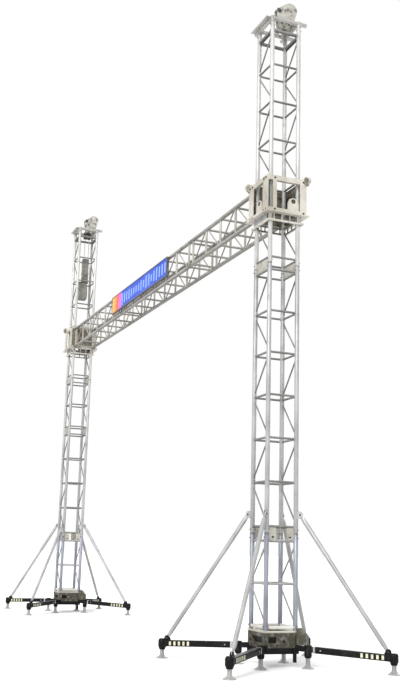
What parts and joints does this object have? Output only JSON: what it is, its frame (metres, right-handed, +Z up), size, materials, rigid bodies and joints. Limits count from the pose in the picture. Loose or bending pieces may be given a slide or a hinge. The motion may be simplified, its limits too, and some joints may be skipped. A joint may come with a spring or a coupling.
{
  "type": "truss goal post",
  "caption": "Ground-support goal post: square box-truss masts on braced outrigger bases carry a box-truss beam with a sign panel between sleeve blocks that ride up and down the masts.",
  "frame": {"origin": "on the floor, midway between the two masts", "axes": "+X along the beam from the left mast to the right mast, +Y to the rear, away from the sign, +Z up"},
  "size_m": [10.4472, 1.9472, 7.765],
  "materials": {
    "aluminium": "welded mill-finish tube, lightly scuffed",
    "shaded_aluminium": "older, greyer mill-finish tube",
    "black_steel": "black powder coat with scraped edges",
    "galvanised_steel": "zinc-plated steel",
    "pale_rubber": "pale moulded roller",
    "sign_face": null,
    "hoist_paint": "dark enamel, worn",
    "hoist_grey": "grey enamel, dusty",
    "bag_fabric": "coarse woven bag cloth",
    "chain_steel": "oiled load chain"
  },
  "bodies": {
    "towers": {"left_base_cross": "black_steel", "left_base_frame": "aluminium", "left_outrigger_front_left": "black_steel", "left_outrigger_front_right": "black_steel", "left_outrigger_rear_right": "black_steel", "left_outrigger_rear_left": "black_steel", "left_strut_front_left": "aluminium", "left_strut_front_right": "aluminium", "left_strut_rear_right": "aluminium", "left_strut_rear_left": "aluminium", "left_mast_base_section": "shaded_aluminium", "left_mast_lower_section": "shaded_aluminium", "left_mast_upper_section": "aluminium", "left_head": "aluminium", "right_base_cross": "black_steel", "right_base_frame": "aluminium", "right_outrigger_front_left": "black_steel", "right_outrigger_front_right": "black_steel", "right_outrigger_rear_right": "black_steel", "right_outrigger_rear_left": "black_steel", "right_strut_front_left": "aluminium", "right_strut_front_right": "aluminium", "right_strut_rear_right": "aluminium", "right_strut_rear_left": "aluminium", "right_mast_base_section": "shaded_aluminium", "right_mast_lower_section": "shaded_aluminium", "right_mast_upper_section": "aluminium", "right_head": "aluminium", "hoist_hook_block": "hoist_paint", "hoist_chain": "chain_steel", "hoist_body": "hoist_grey", "hoist_chain_bag": "bag_fabric"},
    "beam_carriage": {"left_sleeve_block": "aluminium", "right_sleeve_block": "aluminium", "beam_section_left": "aluminium", "beam_section_middle": "aluminium", "beam_section_right": "aluminium", "beam_sign": "sign_face"},
    "left_front_wheel": {"left_corner_wheel_front_left": "pale_rubber"},
    "left_rear_wheel": {"left_corner_wheel_rear_right": "pale_rubber"},
    "right_front_wheel": {"right_corner_wheel_front_left": "pale_rubber"},
    "right_rear_wheel": {"right_corner_wheel_rear_right": "pale_rubber"},
    "left_sheave": {"left_head_sheave": "galvanised_steel"},
    "right_sheave": {"right_head_sheave": "galvanised_steel"},
    "left_jack_front_left": {"left_outrigger_jack_front_left": "galvanised_steel"},
    "left_jack_front_right": {"left_outrigger_jack_front_right": "galvanised_steel"},
    "left_jack_rear_right": {"left_outrigger_jack_rear_right": "galvanised_steel"},
    "left_jack_rear_left": {"left_outrigger_jack_rear_left": "galvanised_steel"},
    "left_base_jack_fl": {"left_base_jack_front_left": "galvanised_steel"},
    "left_base_jack_fr": {"left_base_jack_front_right": "galvanised_steel"},
    "left_base_jack_rr": {"left_base_jack_rear_right": "galvanised_steel"},
    "left_base_jack_rl": {"left_base_jack_rear_left": "galvanised_steel"},
    "right_jack_front_left": {"right_outrigger_jack_front_left": "galvanised_steel"},
    "right_jack_front_right": {"right_outrigger_jack_front_right": "galvanised_steel"},
    "right_jack_rear_right": {"right_outrigger_jack_rear_right": "galvanised_steel"},
    "right_jack_rear_left": {"right_outrigger_jack_rear_left": "galvanised_steel"},
    "right_base_jack_fl": {"right_base_jack_front_left": "galvanised_steel"},
    "right_base_jack_fr": {"right_base_jack_front_right": "galvanised_steel"},
    "right_base_jack_rr": {"right_base_jack_rear_right": "galvanised_steel"},
    "right_base_jack_rl": {"right_base_jack_rear_left": "galvanised_steel"}
  },
  "joints": [
    {"name": "beam_lift", "type": "slide", "parent": "towers", "child": "beam_carriage", "axis": [0, 0, 1], "range_m": [-3, 0.5]},
    {"name": "left_front_wheel_turn", "type": "hinge", "parent": "beam_carriage", "child": "left_front_wheel", "pos_m": [-4.5, -0.25, 5.392], "axis": [0.7071, -0.7071, 0], "continuous": true},
    {"name": "left_rear_wheel_turn", "type": "hinge", "parent": "beam_carriage", "child": "left_rear_wheel", "pos_m": [-4, 0.25, 5.392], "axis": [-0.7071, 0.7071, 0], "continuous": true},
    {"name": "right_front_wheel_turn", "type": "hinge", "parent": "beam_carriage", "child": "right_front_wheel", "pos_m": [4, -0.25, 5.392], "axis": [0.7071, -0.7071, 0], "continuous": true},
    {"name": "right_rear_wheel_turn", "type": "hinge", "parent": "beam_carriage", "child": "right_rear_wheel", "pos_m": [4.5, 0.25, 5.392], "axis": [-0.7071, 0.7071, 0], "continuous": true},
    {"name": "left_sheave_turn", "type": "hinge", "parent": "towers", "child": "left_sheave", "pos_m": [-4.25, 0.135, 7.673], "axis": [1, 0, 0], "continuous": true},
    {"name": "right_sheave_turn", "type": "hinge", "parent": "towers", "child": "right_sheave", "pos_m": [4.25, 0.135, 7.673], "axis": [1, 0, 0], "continuous": true},
    {"name": "left_jack_front_left_level", "type": "slide", "parent": "towers", "child": "left_jack_front_left", "axis": [0, 0, 1], "range_m": [-0.08, 0]},
    {"name": "left_jack_front_right_level", "type": "slide", "parent": "towers", "child": "left_jack_front_right", "axis": [0, 0, 1], "range_m": [-0.08, 0]},
    {"name": "left_jack_rear_right_level", "type": "slide", "parent": "towers", "child": "left_jack_rear_right", "axis": [0, 0, 1], "range_m": [-0.08, 0]},
    {"name": "left_jack_rear_left_level", "type": "slide", "parent": "towers", "child": "left_jack_rear_left", "axis": [0, 0, 1], "range_m": [-0.08, 0]},
    {"name": "left_base_jack_fl_level", "type": "slide", "parent": "towers", "child": "left_base_jack_fl", "axis": [0, 0, 1], "range_m": [-0.07, 0]},
    {"name": "left_base_jack_fr_level", "type": "slide", "parent": "towers", "child": "left_base_jack_fr", "axis": [0, 0, 1], "range_m": [-0.07, 0]},
    {"name": "left_base_jack_rr_level", "type": "slide", "parent": "towers", "child": "left_base_jack_rr", "axis": [0, 0, 1], "range_m": [-0.07, 0]},
    {"name": "left_base_jack_rl_level", "type": "slide", "parent": "towers", "child": "left_base_jack_rl", "axis": [0, 0, 1], "range_m": [-0.07, 0]},
    {"name": "right_jack_front_left_level", "type": "slide", "parent": "towers", "child": "right_jack_front_left", "axis": [0, 0, 1], "range_m": [-0.08, 0]},
    {"name": "right_jack_front_right_level", "type": "slide", "parent": "towers", "child": "right_jack_front_right", "axis": [0, 0, 1], "range_m": [-0.08, 0]},
    {"name": "right_jack_rear_right_level", "type": "slide", "parent": "towers", "child": "right_jack_rear_right", "axis": [0, 0, 1], "range_m": [-0.08, 0]},
    {"name": "right_jack_rear_left_level", "type": "slide", "parent": "towers", "child": "right_jack_rear_left", "axis": [0, 0, 1], "range_m": [-0.08, 0]},
    {"name": "right_base_jack_fl_level", "type": "slide", "parent": "towers", "child": "right_base_jack_fl", "axis": [0, 0, 1], "range_m": [-0.07, 0]},
    {"name": "right_base_jack_fr_level", "type": "slide", "parent": "towers", "child": "right_base_jack_fr", "axis": [0, 0, 1], "range_m": [-0.07, 0]},
    {"name": "right_base_jack_rr_level", "type": "slide", "parent": "towers", "child": "right_base_jack_rr", "axis": [0, 0, 1], "range_m": [-0.07, 0]},
    {"name": "right_base_jack_rl_level", "type": "slide", "parent": "towers", "child": "right_base_jack_rl", "axis": [0, 0, 1], "range_m": [-0.07, 0]}
  ]
}
